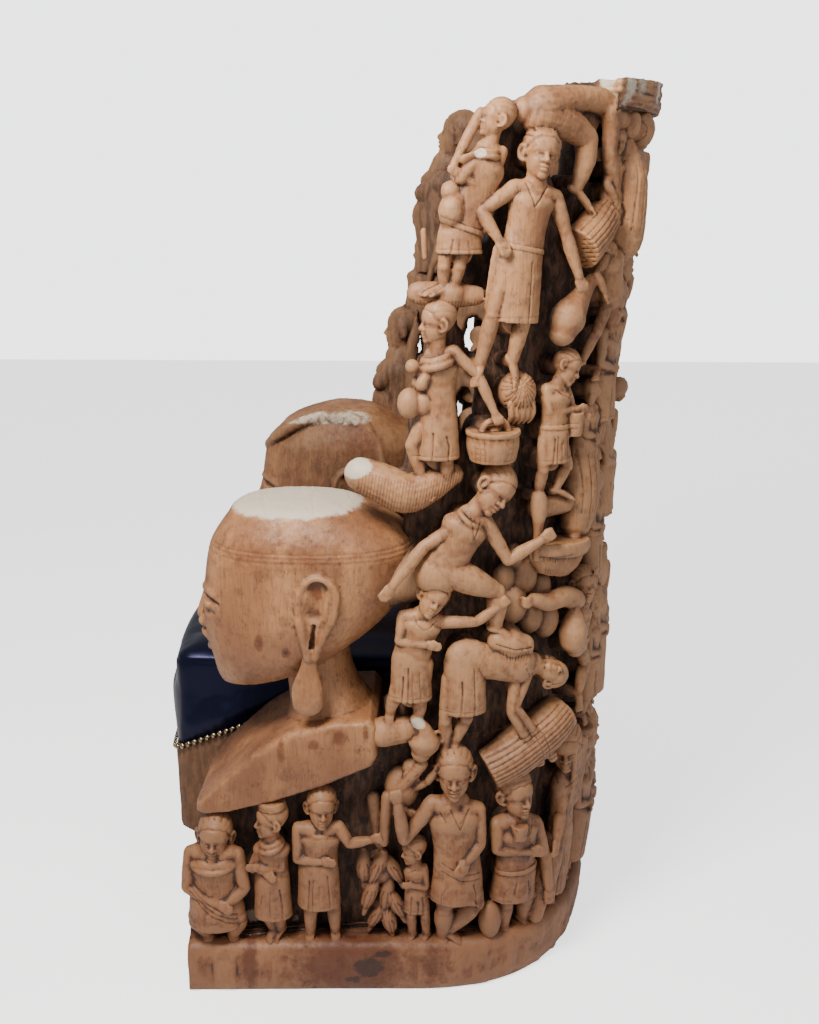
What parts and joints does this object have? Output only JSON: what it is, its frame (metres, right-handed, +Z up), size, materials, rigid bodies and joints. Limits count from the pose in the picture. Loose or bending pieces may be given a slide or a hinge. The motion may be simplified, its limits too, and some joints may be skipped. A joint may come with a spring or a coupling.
{
  "type": "ceremonial throne",
  "caption": "Throne carved from one trunk: great heads as armrests, a tall wrap-round back crowded with small figures, a low base and a nailed leather seat pad",
  "frame": {"origin": "middle of the flat underside, on the floor, midway between the straight sides", "axes": "+Z is up, the throne faces -Y, and +X is its left-hand side as someone sitting in it has it"},
  "size_m": [0.8516, 0.8152, 1.4],
  "materials": {
    "wood": "bare carved hardwood, waxed and dusty, darker in the hollows",
    "leather": "dark navy leather with a soft gloss",
    "brass": "antique brass dome nails"
  },
  "bodies": {
    "root": {"carved_trunk": "wood", "seat_cushion": "leather", "nail_trim": "brass"}
  },
  "joints": []
}
